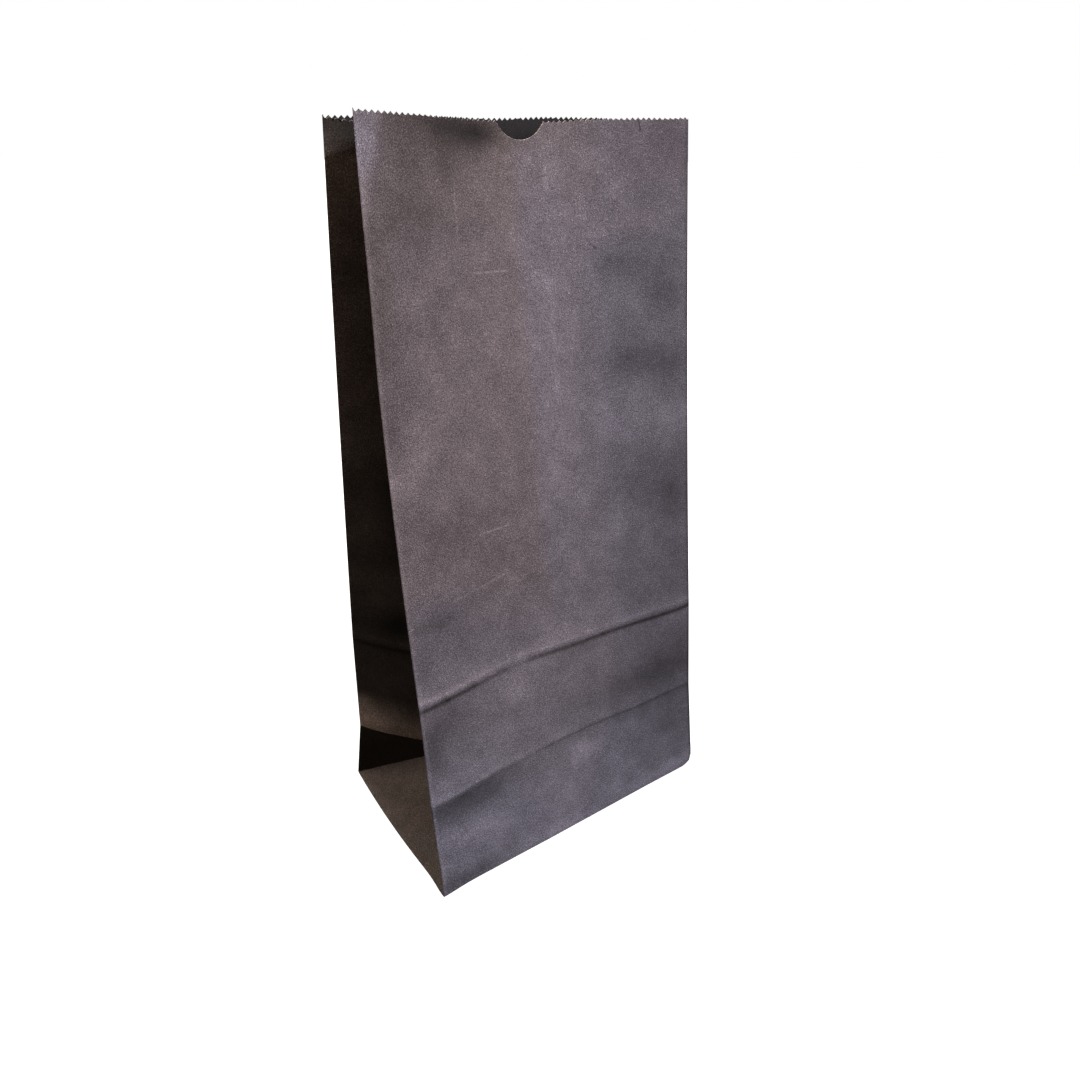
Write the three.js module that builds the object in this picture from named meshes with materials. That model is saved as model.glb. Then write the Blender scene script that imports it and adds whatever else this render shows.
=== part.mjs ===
import * as THREE from "three";
import { mergeVertices } from "three/addons/utils/BufferGeometryUtils.js";

// A self-opening paper bag, standing open and empty. Millimetres, +Z up.
// The origin is the middle of the base, and the front panel, with the thumb notch, faces -Y.
// One folded sheet makes the whole bag, so it is one solid.

// Driving dimensions
const panelWidth = 155; // wide front and rear panels
const gussetDepth = 98; // each side, front to back, when it is pressed flat
const paperHeight = 320.5; // from the base's edge to the rim, along the paper
const wall = 0.4; // the sheet's thickness
const toothPitch = 2.54; // ten teeth to the inch, all round the rim
const toothHeight = 0.8;
const notchWidth = 21.5; // thumb notch in the front rim
const notchDepth = 6.2;
const notchOffset = -2; // its middle, from the panel's
const rimTilt = 0.8; // how much higher the rim is cut on the right than on the left
const paperColour = 0x6a6264;

// The base's tucked triangles reach this far in and this high, and their lower edges swell a little.
const apexTuck = 36.5;
const apexHeight = 33;
const baseSwell = 1.7;
// Higher up, the middle of each side hangs a little lower than its corners.
const sideDrop = 6.8;

// Folds left by the flat bag, as heights along the paper
const halfGusset = gussetDepth / 2;
const firstFold = halfGusset;
const secondFold = 2 * halfGusset;

// How the opened sheet stands, row by row: at the base, the first fold, the second fold, halfway from
// there to the rim, and the rim. Each wide panel has its corners at left and right, across, and at
// back, front to back. bow is how much further back its middle stands.
const bowPower = 1.5; // above 1, a bowed panel starts flat at its folds and stays clear of the gussets
const half = panelWidth / 2;
const stance = {
  front: [
    { left: -half, right: half, back: -halfGusset, bow: 0 },
    { left: -77.6, right: 77.2, back: -41.5, bow: 1.5 },
    { left: -78.4, right: 75, back: -37.8, bow: 3.8 },
    { left: -78.2, right: 74.2, back: -24, bow: 7 },
    { left: -72.6, right: 79.6, back: -5.5, bow: 12 },
  ],
  rear: [
    { left: -half, right: half, back: halfGusset, bow: 0 },
    { left: -80.2, right: 79.4, back: 30.3, bow: 3.5 },
    { left: -77.4, right: 76.4, back: 35, bow: 2.5 },
    { left: -75.6, right: 75.6, back: 27.5, bow: 4 },
    { left: -73, right: 79.2, back: 20.3, bow: 6.5 },
  ],
};

// How finely the sheet is divided
const panelCells = 14;
const sideCells = 6; // across half a gusset, and between the folds
const upperRows = 12;
const rimBand = 11; // the strip of paper that holds the notch and the teeth
const paperStep = halfGusset / sideCells;

// A value of the stance at any height: straight between the folds, one curve above them
function stanceAt(panel, key, up) {
  const [base, first, second, middle, rim] = stance[panel].map((row) => row[key]);
  if (up <= firstFold) return THREE.MathUtils.lerp(base, first, up / firstFold);
  if (up <= secondFold) return THREE.MathUtils.lerp(first, second, up / firstFold - 1);
  const t = (up - secondFold) / (paperHeight - secondFold);
  return second * (1 - t) * (1 - 2 * t) + 4 * middle * t * (1 - t) + rim * t * (2 * t - 1);
}

// Where a point of a wide panel stands in plan. across runs 0 to 1, left to right.
function panelPlan(panel, across, up) {
  const [left, right, back, bow] = ["left", "right", "back", "bow"].map((key) => stanceAt(panel, key, up));
  const bowShare = (4 * across * (1 - across)) ** bowPower;
  return new THREE.Vector2(left + across * (right - left), back + bow * bowShare);
}

// Paper doesn't stretch, so what the sheet leans it loses in height.
function panelPoint(panel, across, up) {
  let height = wall / 2;
  let plan = panelPlan(panel, across, 0);
  for (let low = 0; low < up - 1e-6; low += paperStep) {
    const high = Math.min(low + paperStep, up);
    const next = panelPlan(panel, across, high);
    height += Math.sqrt((high - low) ** 2 - next.distanceToSquared(plan));
    plan = next;
  }
  return new THREE.Vector3(plan.x, plan.y, height);
}

// The crease down the middle of a gusset, above the base's tucked triangles. side is -1 or 1.
function creasePoint(side, up) {
  const apex = new THREE.Vector3(side * (half - apexTuck), 0, apexHeight);
  if (up < secondFold) return apex.lerp(creasePoint(side, secondFold), up / firstFold - 1);
  const across = (side + 1) / 2;
  const front = panelPoint("front", across, up);
  const rear = panelPoint("rear", across, up);
  const middle = front.clone().lerp(rear, 0.5);
  const tuck = Math.sqrt(halfGusset ** 2 - (front.distanceTo(rear) / 2) ** 2);
  return middle.add(new THREE.Vector3(-side * tuck, 0, -sideDrop));
}

// A point of half a gusset. inward runs 0 to 1, from a wide panel's edge to the crease.
function gussetPoint(side, panel, inward, up) {
  const across = (side + 1) / 2;
  if (up >= firstFold) return panelPoint(panel, across, up).lerp(creasePoint(side, up), inward);
  const corner = panelPoint(panel, across, 0);
  const apex = creasePoint(side, firstFold);
  const rise = up / firstFold;
  const edgeShare = Math.max(rise - inward, 0);
  const baseShare = Math.max(inward - rise, 0);
  const swell = side * baseSwell * (2 - inward);
  const baseMiddle = new THREE.Vector3(corner.x + swell, 0, corner.z);
  return new THREE.Vector3()
    .addScaledVector(corner, 1 - Math.max(rise, inward))
    .addScaledVector(panelPoint(panel, across, firstFold), edgeShare)
    .addScaledVector(baseMiddle, baseShare)
    .addScaledVector(apex, Math.min(rise, inward));
}

// The six strips of the wall, in turn round the bag. outward says that a strip starts at the crease.
const panelTeeth = Math.round(panelWidth / toothPitch);
const sideTeeth = Math.round(halfGusset / toothPitch);
const sideStrip = { cells: sideCells, teeth: sideTeeth };
const strips = [
  { cells: panelCells, teeth: panelTeeth, notched: true, at: (u, up) => panelPoint("front", u, up) },
  { ...sideStrip, at: (u, up) => gussetPoint(1, "front", u, up) },
  { ...sideStrip, outward: true, at: (u, up) => gussetPoint(1, "rear", 1 - u, up) },
  { cells: panelCells, teeth: panelTeeth, at: (u, up) => panelPoint("rear", 1 - u, up) },
  { ...sideStrip, at: (u, up) => gussetPoint(-1, "rear", u, up) },
  { ...sideStrip, outward: true, at: (u, up) => gussetPoint(-1, "front", 1 - u, up) },
];

const corners = [];
function addTriangle(a, b, c) {
  corners.push(a, b, c);
}

// Each cell of the sheet is two triangles, split along the fold where there is one.
function addCell(strip, u0, u1, up0, up1) {
  const [a, b, c, d] = [strip.at(u0, up0), strip.at(u1, up0), strip.at(u1, up1), strip.at(u0, up1)];
  if (strip.outward) {
    addTriangle(a, b, d);
    addTriangle(b, c, d);
  } else {
    addTriangle(a, b, c);
    addTriangle(a, c, d);
  }
}

function addWall(strip) {
  const upperTop = paperHeight - rimBand;
  const rows = [];
  for (let i = 0; i < 2 * sideCells; i += 1) rows.push(i * paperStep);
  for (let i = 0; i <= upperRows; i += 1) {
    rows.push(THREE.MathUtils.lerp(secondFold, upperTop, i / upperRows));
  }
  for (let row = 0; row < rows.length - 1; row += 1) {
    for (let cell = 0; cell < strip.cells; cell += 1) {
      addCell(strip, cell / strip.cells, (cell + 1) / strip.cells, rows[row], rows[row + 1]);
    }
  }
}

// The thumb notch is part of a circle, cut down into the front rim.
function notchCut(across) {
  const fromMiddle = (across - 0.5) * panelWidth - notchOffset;
  const radius = (notchWidth ** 2 / 4 + notchDepth ** 2) / (2 * notchDepth);
  if (Math.abs(fromMiddle) >= notchWidth / 2) return 0;
  return Math.sqrt(radius ** 2 - fromMiddle ** 2) - radius + notchDepth;
}

// The rim runs tooth by tooth, and plain round the notch.
function rimHeight(strip, u, isTip) {
  const cut = strip.notched ? notchCut(u) : 0;
  const level = paperHeight + (rimTilt * strip.at(u, paperHeight).x) / panelWidth;
  if (cut > 0) return level - cut;
  return level + (isTip ? toothHeight / 2 : -toothHeight / 2);
}

// Between the even cells below and the fine teeth above, the strip is stitched up in turn.
function addRim(strip) {
  const lower = [];
  const upper = [];
  for (let i = 0; i <= strip.cells; i += 1) {
    lower.push({ u: i / strip.cells, point: strip.at(i / strip.cells, paperHeight - rimBand) });
  }
  for (let i = 0; i <= 2 * strip.teeth; i += 1) {
    const u = i / (2 * strip.teeth);
    upper.push({ u, point: strip.at(u, rimHeight(strip, u, i % 2 === 1)) });
  }
  let i = 0;
  let j = 0;
  while (i < strip.cells || j < 2 * strip.teeth) {
    const nextLower = i < strip.cells ? lower[i].u + lower[i + 1].u : Infinity;
    const nextUpper = j < 2 * strip.teeth ? upper[j].u + upper[j + 1].u : Infinity;
    if (nextUpper < nextLower) {
      addTriangle(lower[i].point, upper[j + 1].point, upper[j].point);
      j += 1;
    } else {
      addTriangle(lower[i].point, lower[i + 1].point, upper[j].point);
      i += 1;
    }
  }
}

function addBase() {
  const depthCells = 2 * sideCells;
  const at = (i, j) => {
    const y = gussetDepth * (j / depthCells - 0.5);
    const halfWidth = half + baseSwell * (1 - (y / halfGusset) ** 2);
    return new THREE.Vector3(halfWidth * ((2 * i) / panelCells - 1), y, wall / 2);
  };
  for (let i = 0; i < panelCells; i += 1) {
    for (let j = 0; j < depthCells; j += 1) {
      addTriangle(at(i, j), at(i, j + 1), at(i + 1, j + 1));
      addTriangle(at(i, j), at(i + 1, j + 1), at(i + 1, j));
    }
  }
}

// The sheet's middle layer, with its shared vertices merged
function middleLayer() {
  strips.forEach(addWall);
  strips.forEach(addRim);
  addBase();
  const sheet = new THREE.BufferGeometry().setFromPoints(corners);
  return mergeVertices(sheet, 1e-3);
}

// How far and which way each vertex moves out, so that every face beside it moves out by half the wall
function outwardSteps(points, triangles) {
  const sums = points.map(() => ({ weights: new Float64Array(9), push: new THREE.Vector3() }));
  const normal = new THREE.Vector3();
  const softening = 0.02; // holds still what the faces leave free, along a flat stretch
  for (const [a, b, c] of triangles) {
    new THREE.Triangle(points[a], points[b], points[c]).getNormal(normal);
    const n = normal.toArray();
    for (const vertex of [a, b, c]) {
      for (let k = 0; k < 9; k += 1) sums[vertex].weights[k] += n[k % 3] * n[Math.floor(k / 3)];
      sums[vertex].push.addScaledVector(normal, wall / 2);
    }
  }
  return sums.map(({ weights, push }) => {
    const system = new THREE.Matrix3().fromArray(weights);
    for (const diagonal of [0, 4, 8]) system.elements[diagonal] += softening;
    return push.applyMatrix3(system.invert());
  });
}

// Two faces a wall apart, joined along the rim, make the closed solid.
function thickened(sheet) {
  const place = sheet.getAttribute("position");
  const points = [];
  for (let i = 0; i < place.count; i += 1) points.push(new THREE.Vector3().fromBufferAttribute(place, i));
  const triangles = [];
  const index = sheet.getIndex().array;
  for (let i = 0; i < index.length; i += 3) triangles.push([index[i], index[i + 1], index[i + 2]]);

  const steps = outwardSteps(points, triangles);
  const outer = points.map((point, i) => point.clone().add(steps[i]));
  const inner = points.map((point, i) => point.clone().sub(steps[i]));
  const edges = new Set();
  for (const [a, b, c] of triangles) {
    for (const [from, to] of [[a, b], [b, c], [c, a]]) edges.add(from + "," + to);
  }
  const faces = [];
  for (const [a, b, c] of triangles) {
    faces.push(outer[a], outer[b], outer[c], inner[c], inner[b], inner[a]);
    for (const [from, to] of [[a, b], [b, c], [c, a]]) {
      if (edges.has(to + "," + from)) continue;
      faces.push(outer[to], outer[from], inner[from], outer[to], inner[from], inner[to]);
    }
  }
  return new THREE.BufferGeometry().setFromPoints(faces);
}

const paper = new THREE.MeshStandardMaterial({ color: paperColour, roughness: 0.85, metalness: 0 });
const bag = new THREE.Mesh(thickened(middleLayer()), paper);
bag.name = "bag";
bag.geometry.computeVertexNormals();

const selfOpeningBag = new THREE.Group();
selfOpeningBag.add(bag);

export default selfOpeningBag;
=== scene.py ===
import math
import bpy
import numpy as np
from mathutils import Matrix, Vector
from mathutils.geometry import delaunay_2d_cdt


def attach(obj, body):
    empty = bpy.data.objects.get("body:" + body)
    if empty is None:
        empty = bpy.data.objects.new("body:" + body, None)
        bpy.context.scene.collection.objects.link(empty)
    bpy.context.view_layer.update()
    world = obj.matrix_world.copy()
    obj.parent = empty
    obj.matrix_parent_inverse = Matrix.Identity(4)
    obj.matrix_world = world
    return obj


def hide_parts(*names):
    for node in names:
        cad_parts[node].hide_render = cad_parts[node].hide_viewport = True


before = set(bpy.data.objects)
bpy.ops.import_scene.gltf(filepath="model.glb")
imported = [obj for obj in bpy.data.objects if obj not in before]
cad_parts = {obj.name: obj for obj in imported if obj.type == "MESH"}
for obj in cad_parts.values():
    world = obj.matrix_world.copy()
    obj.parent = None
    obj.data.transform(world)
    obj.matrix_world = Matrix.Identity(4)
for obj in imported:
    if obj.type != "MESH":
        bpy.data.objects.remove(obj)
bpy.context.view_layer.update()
mm = 0.001


def smoothRamp(value, low, high):
    share = np.clip((value - low) / (high - low), 0, 1)
    return share * share * (3 - 2 * share)


# The bag is one folded sheet. A place on it is given by along, the way round the bag from the front
# panel's left edge, and up, the way up the paper from the base. The front panel faces -Y.
bagForm = {
    "panelWidth": 0.155,
    "gussetDepth": 0.098,
    "paperHeight": 0.3205,
    "thickness": 0.00025,
    "apexTuck": 0.0365,       # how far in the base's tucked triangles reach
    "apexHeight": 0.033,
    "baseSwell": 0.0017,      # how much the base's short sides bulge
    "sideDrop": 0.0068,       # a side's middle hangs this much lower than its corners
    "bowPower": 1.5,          # above 1, a panel starts flat at its folds, clear of the sides
    # left, right, back and bow at the base, the first fold, the second fold, halfway up and the rim
    "front": ((-0.0775, 0.0775, -0.049, 0), (-0.0776, 0.0772, -0.0415, 0.0015),
              (-0.0784, 0.075, -0.0378, 0.0038), (-0.0782, 0.0742, -0.024, 0.007),
              (-0.0726, 0.0796, -0.0055, 0.012)),
    "rear": ((-0.0775, 0.0775, 0.049, 0), (-0.0802, 0.0794, 0.0303, 0.0035),
             (-0.0774, 0.0764, 0.035, 0.0025), (-0.0756, 0.0756, 0.0275, 0.004),
             (-0.073, 0.0792, 0.0203, 0.0065)),
}
panelWidth = bagForm["panelWidth"]
halfGusset = bagForm["gussetDepth"] / 2
paperHeight = bagForm["paperHeight"]
halfWall = bagForm["thickness"] / 2
firstFold, secondFold = halfGusset, 2 * halfGusset


# Left, right, back and bow at any height: straight between the folds and one curve above them
def stanceAt(panel, up):
    base, first, second, middle, rim = (np.array(row) for row in bagForm[panel])
    low = (up / firstFold)[..., None]
    t = ((up - secondFold) / (paperHeight - secondFold))[..., None]
    straight = np.where(low <= 1, base + (first - base) * low, first + (second - first) * (low - 1))
    curve = second * (1 - t) * (1 - 2 * t) + 4 * middle * t * (1 - t) + rim * t * (2 * t - 1)
    return np.where(low <= 2, straight, curve)


def panelPlan(panel, across, up):
    left, right, back, bow = np.moveaxis(stanceAt(panel, up), -1, 0)
    share = np.maximum(4 * across * (1 - across), 0) ** bagForm["bowPower"]
    return np.stack([left + across * (right - left), back + bow * share], -1)


# Paper doesn't stretch, so what the sheet leans it loses in height. The heights are kept in a table.
table = {"step": 1 * mm, "columns": 41, "spareRows": 4, "shortOfLast": 1.001}


def heightTable(panel):
    ups = np.arange(0, paperHeight + table["spareRows"] * table["step"], table["step"])
    across, up = np.meshgrid(np.linspace(0, 1, table["columns"]), ups)
    run = np.diff(panelPlan(panel, across, up), axis=0)
    rise = np.sqrt(table["step"] ** 2 - (run ** 2).sum(-1))
    return halfWall + np.vstack([np.zeros(table["columns"]), np.cumsum(rise, axis=0)])


heights = {panel: heightTable(panel) for panel in ("front", "rear")}


def panelPoint(panel, across, up):
    known = heights[panel]
    row = np.clip(up / table["step"], 0, len(known) - table["shortOfLast"])
    column = np.clip(across * (table["columns"] - 1), 0, table["columns"] - table["shortOfLast"])
    i, j = row.astype(int), column.astype(int)
    v, u = row - i, column - j
    below = known[i, j] * (1 - u) + known[i, j + 1] * u
    above = known[i + 1, j] * (1 - u) + known[i + 1, j + 1] * u
    plan = panelPlan(panel, across, up)
    return np.concatenate([plan, (below * (1 - v) + above * v)[..., None]], -1)


# The crease down the middle of a side, above the tucked triangle. side is -1 or 1.
def creasePoint(side, up):
    apex = np.array([side * (panelWidth / 2 - bagForm["apexTuck"]), 0, bagForm["apexHeight"]])
    high = np.maximum(up, secondFold)
    across = np.full_like(high, (side + 1) / 2)
    front, rear = panelPoint("front", across, high), panelPoint("rear", across, high)
    apart = np.linalg.norm(front - rear, axis=-1) / 2
    tuck = np.sqrt(halfGusset ** 2 - apart ** 2)
    drop = np.full_like(tuck, bagForm["sideDrop"])
    crease = (front + rear) / 2 - np.stack([side * tuck, 0 * tuck, drop], -1)
    share = np.clip(up / firstFold - 1, 0, 1)[..., None]
    return apex + (crease - apex) * share


# Half a side, from a wide panel's edge inward to the crease. Below the first fold it is two triangles.
def sidePoint(side, panel, inward, up):
    across = np.full_like(up, (side + 1) / 2)
    edge = panelPoint(panel, across, up)
    upper = edge + (creasePoint(side, np.maximum(up, firstFold)) - edge) * inward[..., None]
    corner = panelPoint(panel, across, 0 * up)
    fold = panelPoint(panel, across, 0 * up + firstFold)
    apex = creasePoint(side, 0 * up + firstFold)
    swell = side * bagForm["baseSwell"] * (2 - inward)
    baseMiddle = np.stack([corner[..., 0] + swell, 0 * up, corner[..., 2]], -1)
    rise = up / firstFold
    lower = (corner * (1 - np.maximum(rise, inward))[..., None]
             + fold * np.maximum(rise - inward, 0)[..., None]
             + baseMiddle * np.maximum(inward - rise, 0)[..., None]
             + apex * np.minimum(rise, inward)[..., None])
    return np.where((up < firstFold)[..., None], lower, upper)


# The six strips in turn round the bag
strips = [
    {"name": "front", "width": panelWidth, "at": lambda u, up: panelPoint("front", u, up)},
    {"name": "rightFront", "width": halfGusset, "at": lambda u, up: sidePoint(1, "front", u, up)},
    {"name": "rightRear", "width": halfGusset, "at": lambda u, up: sidePoint(1, "rear", 1 - u, up)},
    {"name": "rear", "width": panelWidth, "at": lambda u, up: panelPoint("rear", 1 - u, up)},
    {"name": "leftRear", "width": halfGusset, "at": lambda u, up: sidePoint(-1, "rear", u, up)},
    {"name": "leftFront", "width": halfGusset, "at": lambda u, up: sidePoint(-1, "front", 1 - u, up)},
]
stripStart = {}
girth = 0
for strip in strips:
    stripStart[strip["name"]] = girth
    girth += strip["width"]


# Each strip in turn, with which of the places lie on it, and where on it they are
def onStrips(along, up):
    for strip in strips:
        start = stripStart[strip["name"]]
        here = (along >= start) & (along < start + strip["width"])
        yield strip, here, along[here] - start, up[here]


def sheetPoint(along, up):
    spot = np.zeros(along.shape + (3,))
    for strip, here, x, level in onStrips(np.mod(along, girth), up):
        place = strip["at"](x / strip["width"], np.maximum(level, 0))
        # below 0 the sheet has turned in under the base, mitred at the corners
        turnedIn = np.maximum(-level, 0)[:, None] * np.array([2 / panelWidth, 1 / halfGusset, 0])
        spot[here] = place * (1 - turnedIn)
    return spot


# Every fold is a little round: near one, each point is the mean of its neighbourhood.
foldRound = {"radius": 0.0007, "near": 1.5, "nearSlant": 3,
             "shares": {-1: 0.1, -0.5: 0.2, 0: 0.4, 0.5: 0.2, 1: 0.1}}


def softPoint(along, up):
    radius, shares = foldRound["radius"], foldRound["shares"]
    spots = sheetPoint(along, up)
    turned = np.mod(along, girth)
    folds = [*stripStart.values(), girth]
    near = np.min([np.abs(turned - fold) for fold in folds], axis=0) < foldRound["near"] * radius
    for fold in (0, firstFold, secondFold):
        near |= np.abs(up - fold) < foldRound["near"] * radius
    # the slanted folds at the foot of the right side; on the left this falls beside them, so they are crisp
    inward = halfGusset - np.abs(np.mod(turned - panelWidth, 2 * halfGusset) - halfGusset)
    aside = ((turned > panelWidth) & (turned < stripStart["rear"])) | (turned > stripStart["leftRear"])
    near |= aside & (up < firstFold) & (np.abs(inward - up) < foldRound["nearSlant"] * radius)
    total = np.zeros((int(near.sum()), 3))
    for aside, asideShare in shares.items():
        for above, aboveShare in shares.items():
            spot = sheetPoint(along[near] + aside * radius, up[near] + above * radius)
            total += asideShare * aboveShare * spot
    spots[near] = total
    return spots


# What the paper has been through, in millimetres: x along the strip and up the paper, then the half
# width and half height, how far it stands out (minus is in), and how far it is turned.
dents = {
    "front": [
        (55, 306, 15, 7, -0.9, -8), (20, 284, 9, 20, -0.35, -18), (128, 258, 24, 10, -1.2, 4),
        (126, 238, 20, 10, 0.6, 0), (124, 217, 18, 8, -0.8, -6), (138, 194, 24, 12, 1.0, 5),
        (130, 164, 26, 13, -0.9, 0), (5, 241, 5, 15, -0.5, 0), (5, 208, 5, 10, -0.5, 0),
        (26, 182, 22, 11, -0.6, 8), (22, 131, 20, 7, -0.6, 6), (12, 84, 14, 12, -0.7, 20),
        (64, 74, 13, 9, -0.6, 0), (132, 70, 20, 10, -0.7, 0), (22, 24, 22, 10, 0.7, -10),
        (92, 26, 20, 16, -0.5, 0),
    ],
    "rear": [
        (40, 262, 26, 14, -1.0, 10), (104, 226, 24, 15, 0.8, -8), (66, 180, 28, 14, -0.8, 0),
        (118, 140, 22, 12, -0.7, 12), (30, 128, 18, 12, 0.6, 0), (80, 70, 26, 12, -0.6, 0),
    ],
    "leftRear": [
        (8, 216, 8, 5, 0.4, 10), (14, 131, 9, 4, 0.4, -12), (24, 260, 16, 22, -0.5, 0),
        (12, 172, 10, 14, 0.4, 0), (15, 55, 20, 9, 1.2, 0),
    ],
    "leftFront": [(24, 230, 16, 24, 0.5, 0), (26, 150, 14, 16, -0.5, 0)],
    "rightFront": [(22, 240, 14, 20, -0.6, 0), (20, 160, 14, 16, 0.5, 10)],
    "rightRear": [(26, 200, 16, 20, -0.5, -10), (24, 130, 12, 14, 0.5, 0)],
}
# Folds and wrinkles: points of the line, how far it stands out at each, and how far below (or left)
# and above (or right) of it the paper takes to come back
creases = {
    "front": [
        {"line": ((0, 97.5), (42, 100.5), (56, 99.5), (100, 99.3), (155, 98.8)),
         "rise": (0.5, 0.45, 0.15, 0.8, 1.0), "below": 1.7, "above": 4.5},
        {"line": ((0, 47), (50, 51.5), (78, 52), (155, 51.5)),
         "rise": (0.9, 0.6, 0.45, 0.5), "below": 3.4, "above": 6},
        {"line": ((19, 139.5), (50, 144)), "rise": (0.4, 0.3), "below": 2, "above": 3},
        {"line": ((71, 320), (71, 110)), "rise": (-0.8, -0.3), "below": 16, "above": 16},
        {"line": ((0, 285), (11, 320)), "rise": (-0.1, -0.7), "below": 9, "above": 9},
        {"line": ((77, 0), (76, 28)), "rise": (-0.5, -0.1), "below": 8, "above": 8},
        {"line": ((10, 33), (24, 29), (36, 23)), "rise": (0.3, 0.4, 0.2), "below": 3, "above": 3},
    ],
    "rear": [
        {"line": ((0, 99), (80, 98.5), (155, 98.2)), "rise": (0.5, 0.35, 0.5), "below": 2, "above": 5},
        {"line": ((0, 50), (80, 51), (155, 49)), "rise": (0.6, 0.4, 0.6), "below": 3, "above": 5},
        {"line": ((80, 318), (78, 110)), "rise": (-0.6, -0.2), "below": 16, "above": 16},
    ],
}
sideCrease = {"line": ((0, 98.5), (49, 98.5)), "below": 1.6, "above": 4}
sideRises = {"leftRear": (0.8, 0.4), "leftFront": (0.4, 0.6), "rightFront": (0.6, 0.4),
             "rightRear": (0.4, 0.7)}
for name, rises in sideRises.items():
    creases[name] = [{**sideCrease, "rise": rises}]
creaseTip = 0.35     # the crest is a little round
slack = {"seed": 7, "waves": 26, "height": 0.11 * mm, "shortest": 28 * mm, "longest": 90 * mm}
# How far from a fold dents and slack reach their full height, how far above the floor they start and
# take to grow, and where the sides lie so close behind the wide panels that nothing may dent inward
relief = {"fromFold": 5, "slackFromFold": 12, "start": 1 * mm, "grow": 12 * mm,
          "closeUp": (195, 260), "closeAcross": (50, 58)}


def dentShape(x, up, dent):
    centreX, centreUp, halfWidth, halfHeight, depth, turn = dent
    c, s = math.cos(math.radians(turn)), math.sin(math.radians(turn))
    dx, dy = x - centreX, up - centreUp
    return depth * np.exp(-(((dx * c + dy * s) / halfWidth) ** 2 + ((dy * c - dx * s) / halfHeight) ** 2))


# The nearest place on the line gives the rise, and the side of the line the fall
def creaseShape(x, up, crease):
    points = np.array(crease["line"], float)
    tip = crease.get("tip", creaseTip)
    nearest = np.full(x.shape, np.inf)
    height = np.zeros(x.shape)
    for k in range(len(points) - 1):
        start, run = points[k], points[k + 1] - points[k]
        share = ((x - start[0]) * run[0] + (up - start[1]) * run[1]) / np.hypot(*run) ** 2
        held = np.clip(share, 0, 1)
        offX, offUp = x - start[0] - held * run[0], up - start[1] - held * run[1]
        away = np.hypot(offX, offUp)
        fall = np.where(run[0] * offUp - run[1] * offX > 0, crease["above"], crease["below"])
        profile = np.exp(-(np.sqrt(away ** 2 + tip ** 2) - tip) / fall)
        rise = crease["rise"][k] * (1 - held) + crease["rise"][k + 1] * held
        height = np.where(away < nearest, rise * profile, height)
        nearest = np.minimum(nearest, away)
    return height


# Long, low waves over the whole sheet, since paper that has been folded is never quite flat
def slackShape(along, up):
    draw = np.random.default_rng(slack["seed"])
    total = np.zeros(along.shape)
    for _ in range(slack["waves"]):
        length = draw.uniform(slack["shortest"], slack["longest"])
        turn = draw.uniform(0, math.pi)
        phase = draw.uniform(0, 2 * math.pi)
        run = along * math.cos(turn) + up * math.sin(turn)
        total += slack["height"] * np.sin(2 * math.pi * run / length + phase)
    return total


# How far a point stands out from the smooth form. It dies away at the folds that meet the floor.
def reliefAt(along, up):
    along = np.mod(along, girth)
    total = np.zeros(along.shape)
    for strip, here, x, level in onStrips(along, up):
        x, level = x / mm, level / mm
        height = np.zeros(x.shape)
        for dent in dents[strip["name"]]:
            height += dentShape(x, level, dent)
        for crease in creases[strip["name"]]:
            height += creaseShape(x, level, crease)
        toEdge = np.minimum(x, strip["width"] / mm - x)
        height = height * mm * np.clip(toEdge / relief["fromFold"], 0, 1)
        height += slackShape(along[here], up[here]) * np.clip(toEdge / relief["slackFromFold"], 0, 1)
        close = smoothRamp(level, *relief["closeUp"]) * (1 - smoothRamp(toEdge, *relief["closeAcross"]))
        total[here] = height * (1 - close) + np.maximum(height, 0) * close
    return total * np.clip((up - relief["start"]) / relief["grow"], 0, 1)


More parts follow.
